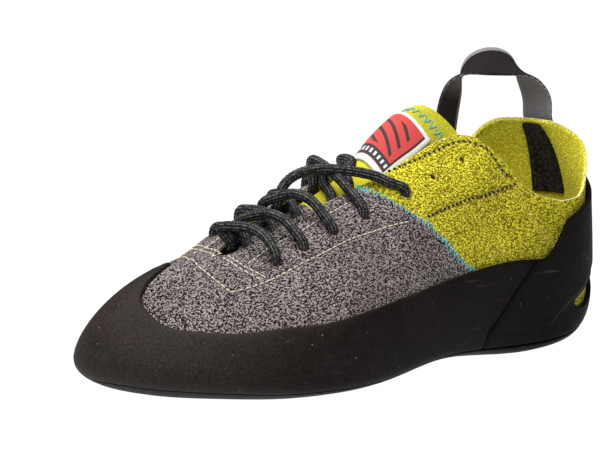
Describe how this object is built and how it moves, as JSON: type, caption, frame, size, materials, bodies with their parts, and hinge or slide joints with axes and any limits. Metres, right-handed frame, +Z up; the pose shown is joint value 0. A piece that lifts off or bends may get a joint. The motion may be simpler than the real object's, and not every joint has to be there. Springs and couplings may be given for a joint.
{
  "type": "climbing shoe",
  "caption": "Left lace-up climbing shoe with a two-tone suede upper, a rubber rand, heel band and outsole, and a heel pull loop.",
  "frame": {"origin": "on the floor, at the middle of the flat spot under the heel", "axes": "+Z up, +Y from the heel to the toe, +X to the inside of the foot"},
  "size_m": [0.1002, 0.2743, 0.1227],
  "materials": {
    "rubber": "matte, finely worn",
    "suede": "napped suede, grey in front and lime at the collar",
    "tongue": "fine yellow-green nap",
    "insole": "felted",
    "lace": "round braid",
    "webbing": "twill woven, light edge",
    "patch": "black suede",
    "label": "woven satin"
  },
  "bodies": {
    "root": {"outsole": "rubber", "insole": "insole", "upper": "suede", "rand_front": "rubber", "rand_heel": "rubber", "tongue": "tongue", "tongue_label": "label", "pull_loop": "webbing", "loop_patch": "patch", "lace_cross_1": "lace", "lace_cross_2": "lace", "lace_cross_3": "lace", "lace_cross_4": "lace", "lace_cross_5": "lace"}
  },
  "joints": []
}
